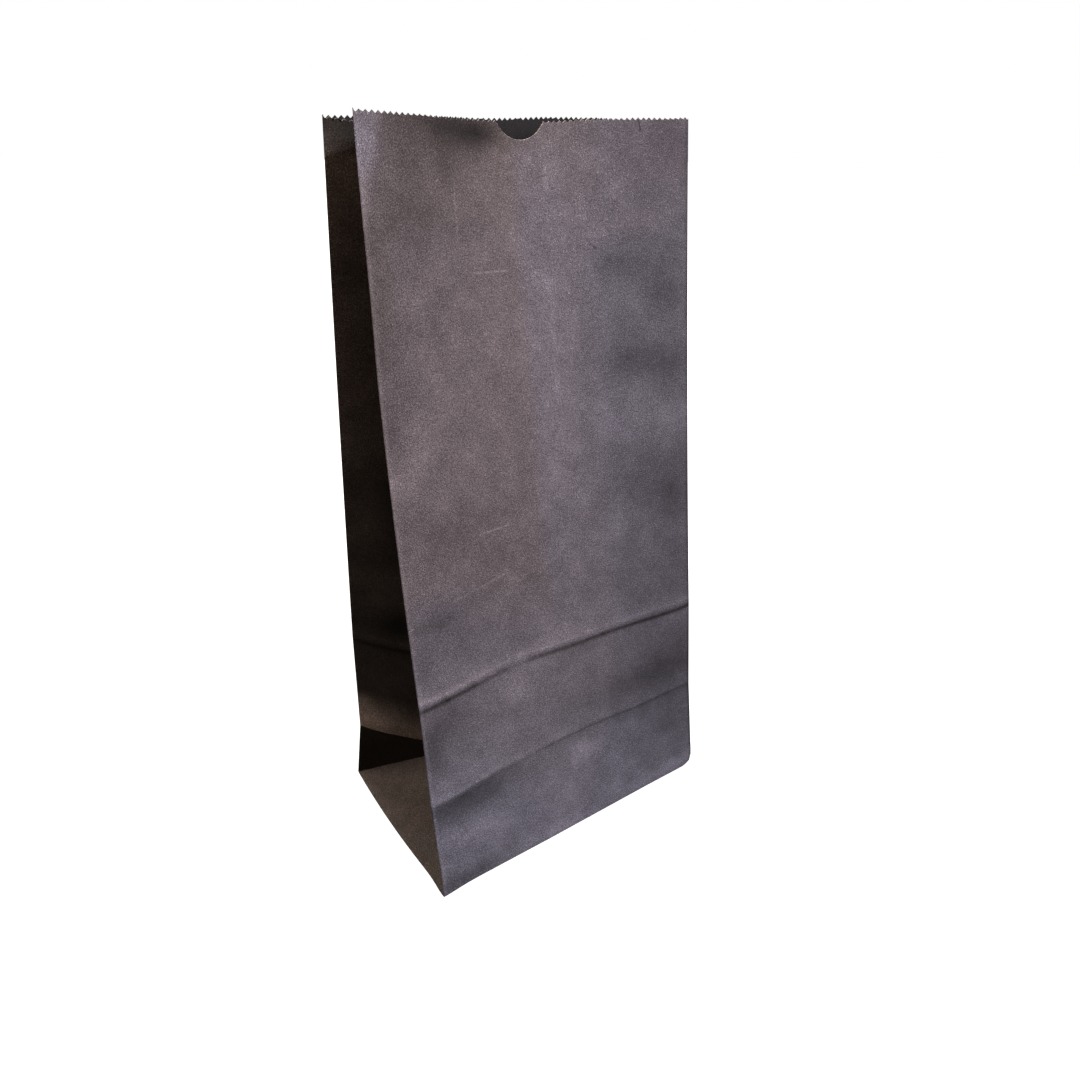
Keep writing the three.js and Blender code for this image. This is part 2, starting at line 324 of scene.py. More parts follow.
# Painted light and shade for the dents, the waves and the fall of the light over the panels, as x, up, half
# width, half height, how much lighter, and turn
paintedLightPatches = {
    "front": [
        (85, 270, 26, 62, 0.34, 0), (50, 235, 36, 60, 0.14, 0), (152, 75, 44, 90, -0.42, 0),
        (4, 90, 14, 40, -0.16, 0), (40, 319, 24, 7, -0.62, 0), (56, 316, 11, 5, -0.25, 0),
        (20, 308, 11, 12, -0.25, -20), (20, 286, 16, 13, -0.26, 35), (4, 250, 5, 24, -0.3, 0),
        (4, 213, 4, 9, -0.35, 0), (13, 205, 9, 9, 0.32, 0), (4, 195, 7, 6, 0.3, 0),
        (122, 266, 15, 5, -0.32, -6), (143, 252, 11, 13, -0.28, 0), (127, 225, 20, 7, -0.4, -5),
        (146, 216, 9, 10, -0.22, 0), (138, 199, 24, 7, 0.26, 4), (134, 165, 22, 14, -0.24, 0),
        (25, 168, 14, 12, -0.24, 8), (5, 176, 8, 5, -0.15, 0), (17, 134, 16, 6, -0.32, 6),
        (18, 120, 22, 12, -0.12, 0), (12, 87, 14, 8, -0.22, 10), (4, 71, 6, 12, -0.35, 0),
        (56, 88, 14, 9, 0.2, 0), (70, 73, 12, 8, -0.14, 0), (130, 66, 26, 9, -0.22, 0),
        (24, 43, 18, 6, -0.15, -4), (86, 41, 10, 7, 0.25, 0), (78, 33, 6, 8, 0.15, 0),
        (23, 26, 19, 7, 0.36, -8), (75, 14, 4, 12, 0.15, 0), (86, 14, 6, 10, -0.16, 0),
        (12, 3, 20, 5, -0.3, 0), (64, 3, 22, 4, 0.25, 0), (134, 5, 24, 4, 0.42, 0),
        (60, 314, 12, 7, -0.22, 0), (26, 316, 5, 6, 0.14, 0), (46, 306, 8, 6, -0.14, 0),
        (64, 258, 6, 42, -0.1, 0), (79, 181, 9, 13, 0.12, 0), (84, 36, 8, 6, 0.14, 0),
        (92, 94.5, 11, 3.5, -0.2, 0), (45, 114, 12, 10, -0.1, 0), (15, 82, 9, 8, -0.14, 0),
        (138, 31, 14, 7, -0.14, 0), (120, 5, 9, 4, -0.15, 0), (68, 16, 8, 18, 0.12, 0),
        (50, 313, 16, 6, -0.22, 0), (36, 307, 6, 10, -0.24, 0), (100, 310, 40, 16, 0.13, 0),
        (122, 288, 16, 14, 0.14, 0), (146, 314, 8, 6, -0.25, 0), (84, 184, 12, 46, 0.13, 0),
        (106, 204, 13, 14, 0.14, 0), (110, 152, 16, 10, 0.18, 0), (146, 158, 9, 12, -0.24, 0),
        (46, 150, 12, 14, -0.13, 0), (85, 108, 26, 9, 0.12, 0), (12, 106, 16, 6, 0.13, 0),
        (150, 96, 14, 5, 0.25, 0), (114, 64, 40, 11, -0.2, 0), (18, 39, 24, 9, -0.24, 0),
        (12, 4, 18, 6, -0.2, 0), (62, 190, 8, 60, -0.07, 0), (80, 200, 8, 60, 0.07, 0),
    ],
    "leftRear": [
        (1.5, 262, 4, 45, 0.4, 0), (28, 235, 11, 55, -0.55, 0), (27, 168, 10, 38, -0.3, 0),
        (23, 113, 12, 9, -0.25, 0), (2, 63, 5, 4, 1.0, 0), (27, 56, 11, 9, -0.9, 0),
        (10, 3, 14, 5, 0.2, 0),
    ],
}
# The same painted light and shade along the creases: a lit band over each and a shaded one under it
paintedCreaseBands = {
    "front": [
        {"line": ((0, 100.2), (10, 100), (25, 102), (45, 103), (70, 102.3), (100, 101.8), (155, 102.2)),
         "rise": (0.65, 0.65, 0.6, 0.35, 0.45, 0.14, 0.28), "below": 0.8, "above": 2.6, "tip": 0.6},
        {"line": ((0, 96.2), (10, 96.6), (25, 98), (48, 99.2), (70, 98.9), (100, 98.3), (155, 98.2)),
         "rise": (-0.45, -0.5, -0.5, -0.1, -0.5, -0.5, -0.55), "below": 0.6, "above": 0.5, "tip": 1.2},
        {"line": ((0, 48.6), (12, 48.8), (35, 51.2), (50, 52.6), (100, 53.6), (155, 53.6)),
         "rise": (0.45, 0.4, 0.2, 0.1, 0, 0), "below": 0.4, "above": 6},
        {"line": ((0, 46), (12, 46.3), (35, 49), (60, 50.4), (155, 50.8)),
         "rise": (-0.45, -0.45, -0.35, -0.15, -0.2), "below": 9, "above": 0.5},
    ],
    "leftRear": [
        {"line": ((0, 101), (49, 100.5)), "rise": (0.12, 0.12), "below": 0.5, "above": 1.5, "tip": 0.5},
        {"line": ((0, 97), (49, 96.5)), "rise": (-0.15, -0.15), "below": 1.2, "above": 0.5, "tip": 0.6},
    ],
}
# How the light falls off down the left side, as heights and shares, and in the folds at its foot
sideLight = {
    "heights": (49, 55, 60, 66, 70, 97, 108, 120, 134, 144, 156, 180, 192, 204, 240, 270, 290, 302, 308,
                312, 316, 320),
    "shares": (3.0, 3.1, 1.8, 0.8, 0.36, 0.3, 0.27, 0.5, 0.55, 0.42, 0.62, 0.5, 0.75, 1.0, 0.95, 1.0,
               1.6, 2.4, 2.4, 0.5, 0.2, 0.16),
    "hollow": 0.27,
    "triangle": 1.1,
}
# Painted light on the facet down from the front's top left corner
facet = {"width": 11, "low": 283, "high": 320, "soft": 1.8, "lighter": 0.6}
# Painted shade on the wide panels' folds and a painted highlight just beside the fold each starts at, as
# distances from them and changes
paintedFoldShade = {"away": (0, 0.8, 2.4), "start": (-0.35, 0.3, 0), "end": (-0.3, -0.34, 0)}
# The inside's share of light, which falls on the rear panel near the rim
insideLight = {"plain": 0.7, "heights": (275, 293, 307, 319), "shares": (0.7, 0.18, 0.08, 0.26)}
edgeLight = {"dark": 0.35, "from": 40, "to": 62, "sides": 0.45}  # the cut edge: dark on the front's left

# Painted colour of the light: brownish where the warm lamp falls, bluish grey where cool shade takes over,
# across the wide panels and down the bag. Each step is how much, and from where to where. At the top it
# turns back.
paintedLightTint = {"plain": 0.25, "neutral": 0.4, "down": ((0.34, 150, 110), (0.5, 95, 12)),
            "across": ((0.35, 67, 76), (0.22, 97, 116)), "top": (0.14, 272, 305), "topRight": (0.14, 66, 80)}
# Patches of the same painted tint on the front panel
paintedTintPatches = [
    (8, 65, 24, 28, 0.1, 0), (75, 22, 26, 30, -0.2, 0), (3, 312, 7, 16, 0.6, -12),
    (135, 26, 30, 28, 0.2, 0), (10, 10, 18, 12, 0.18, 0), (14, 138, 18, 10, 0.14, 0),
    (48, 318, 26, 8, -0.25, 0), (86, 298, 16, 14, 0.14, 0), (125, 281, 22, 7, -0.22, 0),
    (5, 262, 5, 20, -0.12, 0), (144, 18, 22, 18, 0.25, 0), (6, 12, 14, 14, 0.22, 0),
    (48, 50, 14, 10, -0.12, 0), (20, 134, 30, 24, 0.1, 0), (70, 150, 10, 14, 0.1, 0),
]
# How much of the painted warm bounce light each side gets
paintedBounceSides = {"leftRear": 1.0, "leftFront": 1.0, "rightFront": 0.5, "rightRear": 0.5}
darkest = 0.05
shadeInset = 0.04     # how far in from a face's corner its shade is taken, so that folds stay crisp


# How cool the painted tint of the light makes each place
def coolAt(name, x, up):
    def steps(value, places):
        return sum(share * smoothRamp(value, low, high) for share, low, high in places)

    across = steps(x, paintedLightTint["across"]) if name in ("front", "rear") else 0
    cool = paintedLightTint["plain"] + np.maximum(steps(up, paintedLightTint["down"]), across)
    if name == "front":
        cool += sum(dentShape(x, up, patch) for patch in paintedTintPatches)
    top, low, high = paintedLightTint["top"]
    return cool - smoothRamp(up, low, high) * (top + steps(x, [paintedLightTint["topRight"]]))


# The hollow and the tucked triangle at the foot of the left side are told by the folds between them.
def sideLightAt(x, up):
    wall = np.interp(up, sideLight["heights"], sideLight["shares"])
    foot = np.where(up > x, sideLight["hollow"], sideLight["triangle"])
    return np.where(up < firstFold / mm, foot, wall)


# Each place's painted share of light, how cool the painted tint of the light makes its colour, and how brown
# the painted warm bounce makes it
def paintedLightAt(along, up):
    light, cool = np.ones(along.shape), np.full(along.shape, paintedLightTint["neutral"])
    brown = np.zeros(along.shape)
    for strip, here, x, level in onStrips(along, up):
        name, x, level = strip["name"], x / mm, level / mm
        share = sideLightAt(x, level) if name == "leftRear" else np.ones(x.shape)
        inHollow = share == sideLight["hollow"]
        # painted light and shade: the patches, then the bands along the creases
        for tone in paintedLightPatches.get(name, []):
            share += dentShape(x, level, tone) * ~inHollow
        for line in paintedCreaseBands.get(name, []):
            share += creaseShape(x, level, line)
        # the painted light on the facet at the front's top left
        if name == "front":
            edge = facet["width"] * (level - facet["low"]) / (facet["high"] - facet["low"])
            share += facet["lighter"] * smoothRamp(edge - x, -facet["soft"], facet["soft"])
        # painted shade on the folds and a painted highlight beside them
        if name in ("front", "rear"):
            share += np.interp(x, paintedFoldShade["away"], paintedFoldShade["start"])
            share += np.interp(strip["width"] / mm - x, paintedFoldShade["away"], paintedFoldShade["end"])
        light[here] = np.maximum(share, darkest)
        cool[here] = coolAt(name, x, level)
        # the painted warm bounce light on the sides
        brown[here] = paintedBounceSides.get(name, 0)
    return light, cool, brown


# The inside, where the rear panel's top is in shade, and the cut edge
def insideAt(along, up):
    onRear = (along > stripStart["rear"]) & (along < stripStart["leftRear"])
    shade = np.interp(up / mm, insideLight["heights"], insideLight["shares"])
    return np.where(onRear, shade, insideLight["plain"])


def edgeAt(along):
    share = smoothRamp(along / mm, edgeLight["from"], edgeLight["to"])
    front = edgeLight["dark"] + (1 - edgeLight["dark"]) * share
    return np.where(along < panelWidth, front, edgeLight["sides"])


# The serrated rim and the thumb notch
rimForm = {
    "toothPitch": 0.155 / 60.76,
    "toothHeight": 0.0011,
    "toothKnots": ((0, 1), (0.08, 0.88), (0.5, 0.05), (0.92, 0.88)),  # share of the pitch, of the height
    "rimTilt": 0.0008,            # how much higher the rim is cut on the right than on the left
    "notchWidth": 0.0215,
    "notchDepth": 0.0062,
    "notchMiddle": 0.0755,
    "cornerSpike": 0.0003,
    "spikeWidth": 0.0009,
    "lip": 0.00025,               # how much lower the outer face ends, so that the cut edge shows
    # The rim's waves, as places from left to right and heights, in millimetres
    "front": ((-73, 0), (6, 0), (16, 0.1), (25, 0.6), (29, 0.8), (35, 1.0), (45, 0.65), (55, 0.68),
              (65, 0.47), (72, 0.38), (77, 0.6), (80, 0.6)),
    "rear": ((-73, 0), (-35, -0.3), (-25, -0.7), (-16, -0.75), (-6, -1.15), (3, -1.0), (13, -0.75),
             (18, -0.35), (23, 0), (33, 0.26), (38, 0.55), (45, 0.65), (52, 1.0), (62, 1.0), (80, 0.3)),
}


def notchCut(along):
    half, depth = rimForm["notchWidth"] / 2, rimForm["notchDepth"]
    radius = (half ** 2 + depth ** 2) / (2 * depth)
    off = along - rimForm["notchMiddle"]
    inside = np.sqrt(np.maximum(radius ** 2 - off ** 2, 0)) - radius + depth
    return np.where(np.abs(off) < half, inside, 0)


# The waves pass from the front panel's to the rear one's over the sides.
def rimLevel(along):
    x = sheetPoint(along, np.full_like(along, paperHeight))[..., 0]
    front, rear = (np.interp(x / mm, *np.array(rimForm[panel]).T) for panel in ("front", "rear"))
    turns = [panelWidth, stripStart["rear"], stripStart["leftRear"], girth]
    share = np.interp(np.mod(along, girth), turns, [0, 1, 1, 0])
    wave = front * (1 - share) + rear * share
    return paperHeight + rimForm["rimTilt"] * x / panelWidth + wave * mm


# The sheet was cut flat, so every layer has the same teeth: they are told by the way in from a fold.
def flatPlace(along):
    turns = [*stripStart.values(), girth]
    turns.insert(1, panelWidth)
    turns = sorted(set(turns))
    inward = [0, panelWidth, panelWidth - halfGusset, panelWidth, 0, halfGusset, 0]
    return np.interp(np.mod(along, girth), turns, inward)


def toothAt(along):
    knots = np.array(rimForm["toothKnots"] + ((1, 1),))
    phase = np.mod(flatPlace(along) / rimForm["toothPitch"], 1)
    tooth = np.interp(phase, knots[:, 0], knots[:, 1])
    leftCorners = (0, stripStart["leftRear"], girth)
    corner = np.min([np.abs(along - place) for place in leftCorners], axis=0)
    spike = rimForm["cornerSpike"] * np.clip(1 - corner / rimForm["spikeWidth"], 0, 1)
    return np.where(notchCut(along) > 0, 0, rimForm["toothHeight"] * tooth + spike)


# The glued lap down the rear panel: the sheet's last edge lies on its first, and then sinks back.
lapSeam = {"place": 0.0925, "step": 0.00022, "sinks": 0.02, "edge": 0.00025}


def lapStep(along):
    past = along - stripStart["rear"] - lapSeam["place"]
    return lapSeam["step"] * np.where((past > 0) & (past < lapSeam["sinks"]), 1 - past / lapSeam["sinks"], 0)


# The front right corner of the base is blunt, the front left one is drawn out to a tip, and the fold
# over that stands out to the left. The front edge rises a little towards the right.
pulledCorners = [
    {"along": panelWidth, "reach": 0.0036, "pull": (-0.0013, 0.0004, 0.0013)},
    {"along": 0, "reach": 0.009, "pull": (-0.0014, -0.001, 0)},
]
standingFold = {"heights": (0, 25, 60, 110, 230, 260), "shifts": (0, 0.8, 0.7, 0.6, 0.6, 0), "reach": 9}
raisedEdge = {"places": (0.06, 0.12, 0.155, 0.18), "rises": (0, 0.0009, 0.0009, 0), "reach": 0.012}


def cornerPull(along, up):
    pull = np.zeros(along.shape + (3,))
    for corner in pulledCorners:
        aside = np.abs(along - corner["along"])
        away = np.hypot(np.minimum(aside, girth - aside), up)
        pull += np.exp(-(away / corner["reach"]) ** 2)[..., None] * np.array(corner["pull"])
    aside = np.minimum(along, girth - along) / mm
    shift = np.interp(up / mm, standingFold["heights"], standingFold["shifts"]) * mm
    pull[..., 0] -= shift * np.exp(-(aside / standingFold["reach"]) ** 2)
    lift = np.interp(along, raisedEdge["places"], raisedEdge["rises"])
    pull[..., 2] += lift * np.exp(-(np.maximum(up, 0) / raisedEdge["reach"]) ** 2)
    return pull


sheetGrid = {
    "frontCells": 66,
    "rearCells": 52,
    "sideCells": 20,
    "notchCells": 24,
    "besideNotch": 0.6 * mm,      # no other columns are this near to the notch, or to the lap
    "besideLap": 1 * mm,
    "besideFold": (0.35 * mm, 0.8 * mm),
    "underBase": (-0.9 * mm, -0.4 * mm),
    # heights and the number of rows up to each, above the first fold
    "rows": ((56 * mm, 8), (90 * mm, 14), (94 * mm, 4), (104.5 * mm, 24), (109 * mm, 4), (298 * mm, 84),
             (310 * mm, 8)),
    "rimRows": 7,
    "sameColumn": 1e-9,
}


def besideFolds(stops, width):
    near = sheetGrid["besideFold"]
    return np.array(sorted({*stops, *near, *(width - off for off in near)}))


def columnPlaces():
    side = besideFolds(np.linspace(0, halfGusset, sheetGrid["sideCells"] + 1), halfGusset)
    front = np.linspace(0, panelWidth, sheetGrid["frontCells"] + 1)
    half, middle = rimForm["notchWidth"] / 2, rimForm["notchMiddle"]
    turns = np.linspace(0, math.pi, sheetGrid["notchCells"] + 1)
    front = front[np.abs(front - middle) > half + sheetGrid["besideNotch"]]
    front = besideFolds([*front, *(middle - half * np.cos(turns))], panelWidth)
    rear = besideFolds(np.linspace(0, panelWidth, sheetGrid["rearCells"] + 1), panelWidth)
    lap = lapSeam["place"]
    rear = rear[np.abs(rear - lap) > sheetGrid["besideLap"]]
    rear = np.array(sorted([*rear, lap - lapSeam["edge"], lap + lapSeam["edge"]]))
    mirrored = halfGusset - side[::-1]
    stops = {"front": front, "rightFront": side, "rightRear": mirrored, "rear": rear, "leftRear": side,
             "leftFront": mirrored}
    return np.concatenate([stripStart[name] + places[:-1] for name, places in stops.items()]), side


def rowPlaces(side):
    rows = [*sheetGrid["underBase"], *side]
    for top, count in sheetGrid["rows"]:
        rows += list(np.linspace(rows[-1], top, count + 1)[1:])
    return np.array(rows)


def normalsOf(points):
    acrossStep = np.roll(points, -1, axis=1) - np.roll(points, 1, axis=1)
    normal = np.cross(acrossStep, np.gradient(points, axis=0))
    return normal / np.linalg.norm(normal, axis=-1, keepdims=True)


def wallGrid():
    columns, side = columnPlaces()
    rows = rowPlaces(side)
    top = rimLevel(columns) - np.maximum(notchCut(columns), rimForm["toothHeight"] / 2)
    shares = np.linspace(0, 1, sheetGrid["rimRows"] + 1)[1:]
    upper = rows[-1] + shares[:, None] * (top - rows[-1])
    ups = np.vstack([np.repeat(rows[:, None], len(columns), axis=1), upper])
    alongs = np.repeat(columns[None, :], len(ups), axis=0)
    smooth = softPoint(alongs, ups)
    normals = normalsOf(smooth)
    out = reliefAt(alongs, ups) + lapStep(alongs)
    points = smooth + normals * out[..., None] + cornerPull(alongs, ups)
    return alongs, ups, points, normals, side


# The middle layer of the sheet: vertices with their place on the sheet, and faces seen from outside
class Layer:
    def __init__(self):
        self.points = []
        self.places = []
        self.faces = []
        self.facePlaces = []

    def add(self, point, place):
        self.points.append(tuple(point))
        self.places.append(tuple(place))
        return len(self.points) - 1

    def face(self, corners, places):
        self.faces.append(tuple(corners))
        self.facePlaces.append(list(places))


def wallFaces(layer, alongs, ups, points, side):
    rowCount, columnCount = ups.shape
    index = np.arange(ups.size).reshape(ups.shape)
    for spot, along, up in zip(points.reshape(-1, 3), alongs.ravel(), ups.ravel()):
        layer.add(spot, (along, up))
    firstRow, sideCells = len(sheetGrid["underBase"]), len(side) - 1
    rises = {"rightFront": True, "rightRear": False, "leftRear": True, "leftFront": False}
    slants = {}     # the cells that the slanted folds of the tucked triangles cross, and which way
    for name, rising in rises.items():
        start = int(np.searchsorted(alongs[0], stripStart[name] - sheetGrid["sameColumn"]))
        for k in range(sideCells):
            slants[(firstRow + k, start + (k if rising else sideCells - 1 - k))] = rising
    splits = {None: [(0, 1, 2, 3)], True: [(0, 1, 2), (0, 2, 3)], False: [(0, 1, 3), (1, 2, 3)]}
    for i in range(rowCount - 1):
        for j in range(columnCount):
            k = (j + 1) % columnCount
            left, right = alongs[i, j], girth if k == 0 else alongs[i, k]
            corners = (index[i, j], index[i, k], index[i + 1, k], index[i + 1, j])
            places = ((left, ups[i, j]), (right, ups[i, k]), (right, ups[i + 1, k]), (left, ups[i + 1, j]))
            for split in splits[slants.get((i, j))]:
                layer.face([corners[s] for s in split], [places[s] for s in split])
    return index


# Where a tooth's outline turns, round the whole rim, apart from turns too near to a column
turnSearch = {"step": 0.01 * mm, "within": 0.02, "besideColumn": 0.08 * mm, "shortest": 0.02 * mm}


def toothTurns(columns):
    ends = np.append(columns[1:], girth)
    fine = np.arange(0, girth, turnSearch["step"])
    phase = np.mod(flatPlace(fine) / rimForm["toothPitch"], 1)
    turns = []
    for share, _ in rimForm["toothKnots"]:
        off = np.abs(np.mod(phase - share + 0.5, 1) - 0.5)
        lowest = (off[1:-1] <= off[:-2]) & (off[1:-1] < off[2:]) & (off[1:-1] < turnSearch["within"])
        turns += list(fine[1:-1][lowest])
    turns = np.array(sorted(turns))
    cells = np.searchsorted(columns, turns, side="right") - 1
    clear = np.minimum(turns - columns[cells], ends[cells] - turns) > turnSearch["besideColumn"]
    turns, cells = turns[clear], cells[clear]
    return turns, cells, (turns - columns[cells]) / (ends[cells] - columns[cells])


# Above the top row each cell carries its share of the teeth.
def toothFaces(layer, alongs, ups, normals, index):
    columns = alongs[0]
    count = len(columns)
    turns, cells, shares = toothTurns(columns)
    nextCells = (cells + 1) % count
    spots = np.concatenate([columns, turns])
    lows = np.concatenate([ups[-1], ups[-1, cells] * (1 - shares) + ups[-1, nextCells] * shares])
    tall = toothAt(spots)
    nearest = np.concatenate([np.arange(count), np.where(shares < 0.5, cells, nextCells)])
    out = reliefAt(spots, lows + tall) + lapStep(spots)
    points = softPoint(spots, lows + tall) + normals[-1, nearest] * out[:, None]
    vertex = {}
    for k in np.nonzero(tall > turnSearch["shortest"])[0]:
        vertex[int(k)] = layer.add(points[k], (spots[k], lows[k] + tall[k]))
    inCell = {}
    for k, cell in enumerate(cells):
        inCell.setdefault(int(cell), []).append(count + k)
    for j in range(count):
        k = (j + 1) % count
        corners = [int(index[-1, j]), int(index[-1, k])]
        corners += [vertex[knot] for knot in (k, *reversed(inCell.get(j, [])), j) if knot in vertex]
        if len(corners) > 2:
            places = [layer.places[corner] for corner in corners]
            if k == 0:
                places = [(along or girth, up) for along, up in places]
            layer.face(corners, places)


# The base closes the bag. It is a little arched, so that it stands on its edges.
baseForm = {"gridStep": 0.005, "margin": 0.003, "arch": 0.00045, "archReach": 0.008, "together": 1e-7}
baseMap = (0.62, 0.1)     # where the base lies on the map of the sheet


def baseFaces(layer, ring):
    half, step, margin = panelWidth / 2, baseForm["gridStep"], baseForm["margin"]
    places = [Vector(layer.points[k][:2]) for k in ring]
    edges = [(k, (k + 1) % len(ring)) for k in range(len(ring))]
    across, back = int(half / step), int(halfGusset / step)
    for i in range(-across, across + 1):
        for j in range(-back, back + 1):
            if abs(i * step) < half - margin and abs(j * step) < halfGusset - margin:
                places.append(Vector((i * step, j * step)))
    flat, _, triangles, origins, _, _ = delaunay_2d_cdt(places, edges, [], 1, baseForm["together"])
    known = {}
    for k, spot in enumerate(flat):
        source = [origin for origin in origins[k] if origin < len(ring)]
        if source:
            known[k] = ring[source[0]]
            continue
        toEdge = min(half - abs(spot.x), halfGusset - abs(spot.y))
        height = halfWall + baseForm["arch"] * float(smoothRamp(toEdge, 0, baseForm["archReach"]))
        known[k] = layer.add((spot.x, spot.y, height), (0, 0))
    for triangle in triangles:
        corners = [known[k] for k in reversed(triangle)]
        spots = [layer.points[k] for k in corners]
        layer.face(corners, [(baseMap[0] + x, baseMap[1] + y) for x, y, _ in spots])


# Each face gets a twin on the inside, and the open rim is closed by the cut edge. Their kinds are 0 for
# the outside, 1 for the inside and 2 for the cut edge, as in the order of the materials.
def thickened(layer):
    middle = bpy.data.meshes.new("middleLayer")
    middle.from_pydata(layer.points, [], layer.faces)
    normals = np.zeros(len(layer.points) * 3)
    middle.vertices.foreach_get("normal", normals)
    normals = normals.reshape(-1, 3) * halfWall
    bpy.data.meshes.remove(middle)
    spots = np.array(layer.points)
    count = len(spots)
    edges = set()
    for face in layer.faces:
        edges.update(zip(face, face[1:] + face[:1]))
    rim = [start for start, end in edges if (end, start) not in edges]
    vertices = np.vstack([spots + normals, spots - normals])
    vertices[rim, 2] -= rimForm["lip"]
    vertices[:, 2] = np.maximum(vertices[:, 2], 0)
    faces, places, kinds = [], [], []
    for face, facePlace in zip(layer.faces, layer.facePlaces):
        faces += [face, tuple(k + count for k in reversed(face))]
        places += [facePlace, facePlace[::-1]]
        kinds += [0, 1]
    for face, facePlace in zip(layer.faces, layer.facePlaces):
        for k, start in enumerate(face):
            turn = (k + 1) % len(face)
            end = face[turn]
            if (end, start) not in edges:
                faces.append((end, start, start + count, end + count))
                places.append([facePlace[turn], facePlace[k], facePlace[k], facePlace[turn]])
                kinds.append(2)
    return [tuple(spot) for spot in vertices], faces, places, kinds


# Two glued flaps lie one on the other under the base.
flapForm = {"reach": 0.06, "thickness": 0.00013, "inset": 0.0024, "gap": 0.00001}


def addFlap(vertices, faces, places, kinds, side, bottom):
    half, deep, inset, slant = panelWidth / 2, halfGusset, flapForm["inset"], flapForm["reach"]
    outline = [(-half + inset, side * (deep - inset)), (half - inset, side * (deep - inset)),
               (half - slant, side * (deep - slant)), (-half + slant, side * (deep - slant))]
    if side > 0:
        outline.reverse()
    start = len(vertices)
    for height in (bottom, bottom + flapForm["thickness"]):
        vertices += [(x, y, height) for x, y in outline]
    around = [(k, (k + 1) % 4, 4 + (k + 1) % 4, 4 + k) for k in range(4)]
    for face in [(3, 2, 1, 0), (4, 5, 6, 7), *around]:
        corners = tuple(start + k for k in face)
        faces.append(corners)
        places.append([(baseMap[0] + vertices[k][0], baseMap[1] + vertices[k][1]) for k in corners])
        kinds.append(0)


# Every corner of every face gets its own shade.
def shadeCorners(mesh, places, kinds):
    spots = np.array([spot for place in places for spot in place])
    counts = np.array([len(place) for place in places])
    starts = np.concatenate([[0], np.cumsum(counts)[:-1]])
    middles = np.repeat(np.add.reduceat(spots, starts, axis=0) / counts[:, None], counts, axis=0)
    along, up = (spots + shadeInset * (middles - spots)).T
    kind = np.repeat(kinds, counts)
    light, cool, brown = paintedLightAt(along, up)
    shade = np.ones((len(spots), 4))
    shade[:, 0] = np.choose(kind, [light, insideAt(along, up), edgeAt(along)])
    shade[:, 1] = np.where(kind == 0, cool, paintedLightTint["neutral"])
    shade[:, 2] = brown * (kind == 0)
    # The corners carry the painted light and shade, the painted tint of the light and the painted warm
    # bounce
    paintedLight = mesh.color_attributes.new(name="paintedLight", type="FLOAT_COLOR", domain="CORNER")
    paintedLight.data.foreach_set("color", shade.ravel())


def addObject(name, data):
    thing = bpy.data.objects.new(name, data)
    bpy.context.scene.collection.objects.link(thing)
    return thing


crispAngle = 62     # edges that turn more than this are sharp


def buildBag():
    layer = Layer()
    alongs, ups, points, normals, side = wallGrid()
    index = wallFaces(layer, alongs, ups, points, side)
    toothFaces(layer, alongs, ups, normals, index)
    baseFaces(layer, [int(k) for k in index[0]])
    print("sheet", len(layer.points), "points", len(layer.faces), "faces")
    vertices, faces, places, kinds = thickened(layer)
    addFlap(vertices, faces, places, kinds, -1, 0.0)
    addFlap(vertices, faces, places, kinds, 1, flapForm["thickness"] + flapForm["gap"])
    mesh = bpy.data.meshes.new("bagPaper")
    mesh.from_pydata(vertices, [], faces)
    sheetMap = mesh.uv_layers.new(name="sheet")
    sheetMap.data.foreach_set("uv", np.array([c for place in places for c in place]).ravel())
    shadeCorners(mesh, places, kinds)
    mesh.polygons.foreach_set("material_index", kinds)
    mesh.polygons.foreach_set("use_smooth", [True] * len(kinds))
    mesh.set_sharp_from_angle(angle=math.radians(crispAngle))
    mesh.update()
    print("bag", len(mesh.vertices), "vertices", sum(len(face) - 2 for face in faces), "triangles")
    return addObject("bagPaper", mesh)


# Materials. Nodes stand in rows, in the order they are made.
nodeRows = {"across": 8, "wide": 200, "high": 260}


# A setting that is another node's output is joined to the socket of that name or number.
def fill(tree, node, settings):
    for key, value in settings.items():
        if isinstance(key, str) and key not in node.inputs:
            setattr(node, key, value)
        elif isinstance(value, bpy.types.NodeSocket):
            tree.links.new(value, node.inputs[key])
        else:
            node.inputs[key].default_value = value
    return node


def addNode(tree, kind, *values, **settings):
    row, column = divmod(len(tree.nodes), nodeRows["across"])
    node = tree.nodes.new("ShaderNode" + kind)
    node.location = (column * nodeRows["wide"], -row * nodeRows["high"])
    return fill(tree, node, {**settings, **dict(enumerate(values))})


def mathNode(tree, operation, *values, clamp=False):
    return addNode(tree, "Math", *values, operation=operation, use_clamp=clamp).outputs[0]


# Inputs are numbers with a first value, or vectors where that is None. Outputs are numbers.
def newGroup(name, inputs, outputs):
    group = bpy.data.node_groups.new(name, "ShaderNodeTree")
    for label, value in inputs.items():
        kind = "NodeSocketVector" if value is None else "NodeSocketFloat"
        socket = group.interface.new_socket(label, in_out="INPUT", socket_type=kind)
        if value is not None:
            socket.default_value = value
    for label in outputs:
        group.interface.new_socket(label, in_out="OUTPUT", socket_type="NodeSocketFloat")
    start, end = group.nodes.new("NodeGroupInput"), group.nodes.new("NodeGroupOutput")
    end.location = (nodeRows["wide"], 0)
    return group, start.outputs, end


# Paper fibres: cloudy pulp, short streaks up the sheet, fine grain and a few pale specks. The noises
# are how many to the metre, how long up the sheet, how far turned and how detailed.
fibreForm = {
    "cloud": (95, 0.8, 35, 2), "pulp": (340, 0.8, -28, 1.5), "streak": (1000, 0.2, 3, 2),
    "coarse": (1400, 0.5, 11, 1), "fine": (2700, 0.7, -9, 1), "coarseShare": 0.55, "fineShare": 1.9,
    "speckCells": 170.0, "speckRare": 0.97, "speckSize": 0.045,
}
fibreLabels = ("Cloud", "Pulp", "Grain", "Streak", "Speck")


